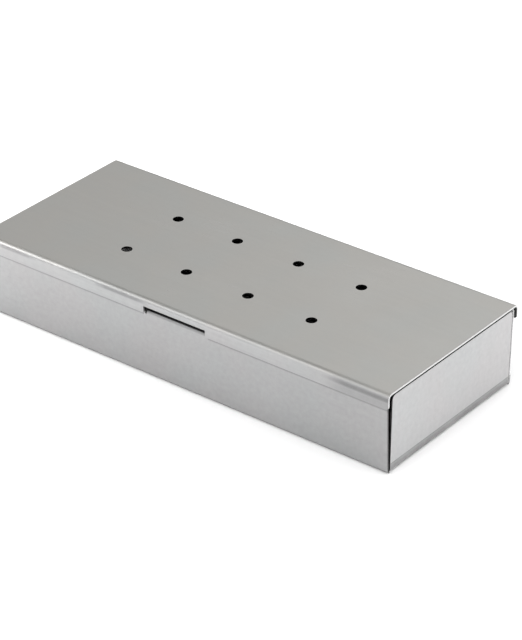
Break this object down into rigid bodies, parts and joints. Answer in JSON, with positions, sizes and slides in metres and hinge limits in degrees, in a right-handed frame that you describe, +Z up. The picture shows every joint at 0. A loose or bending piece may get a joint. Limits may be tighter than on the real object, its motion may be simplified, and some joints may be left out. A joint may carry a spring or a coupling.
{
  "type": "wood chip smoker box",
  "caption": "Folded stainless steel tray for wood chips, with a vented hinged lid that lets smoke out on a grill.",
  "frame": {"origin": "middle of the tray's flat underside, which rests on the grill; the two long walls are equally far from it", "axes": "+X along the box, +Y from the finger notch in front to the hinges at the rear, +Z up"},
  "size_m": [0.235, 0.1013, 0.0412],
  "materials": {
    "tray_steel": "satin mill finish with faint vertical grain",
    "lid_steel": "fine brushed satin, bright sheared edges",
    "hinge_steel": "satin strip with spot weld dimples",
    "pin_steel": "drawn wire with peened ends"
  },
  "bodies": {
    "tray_body": {"tray": "tray_steel", "left_tray_leaf": "hinge_steel", "right_tray_leaf": "hinge_steel", "left_hinge_pin": "pin_steel", "right_hinge_pin": "pin_steel"},
    "lid_body": {"lid": "lid_steel", "left_lid_leaf": "hinge_steel", "right_lid_leaf": "hinge_steel"}
  },
  "joints": [
    {"name": "lid_hinge", "type": "hinge", "parent": "tray_body", "child": "lid_body", "pos_m": [0, 0.05065, 0.032], "axis": [-1, 0, 0], "range_deg": [0, 180]}
  ]
}
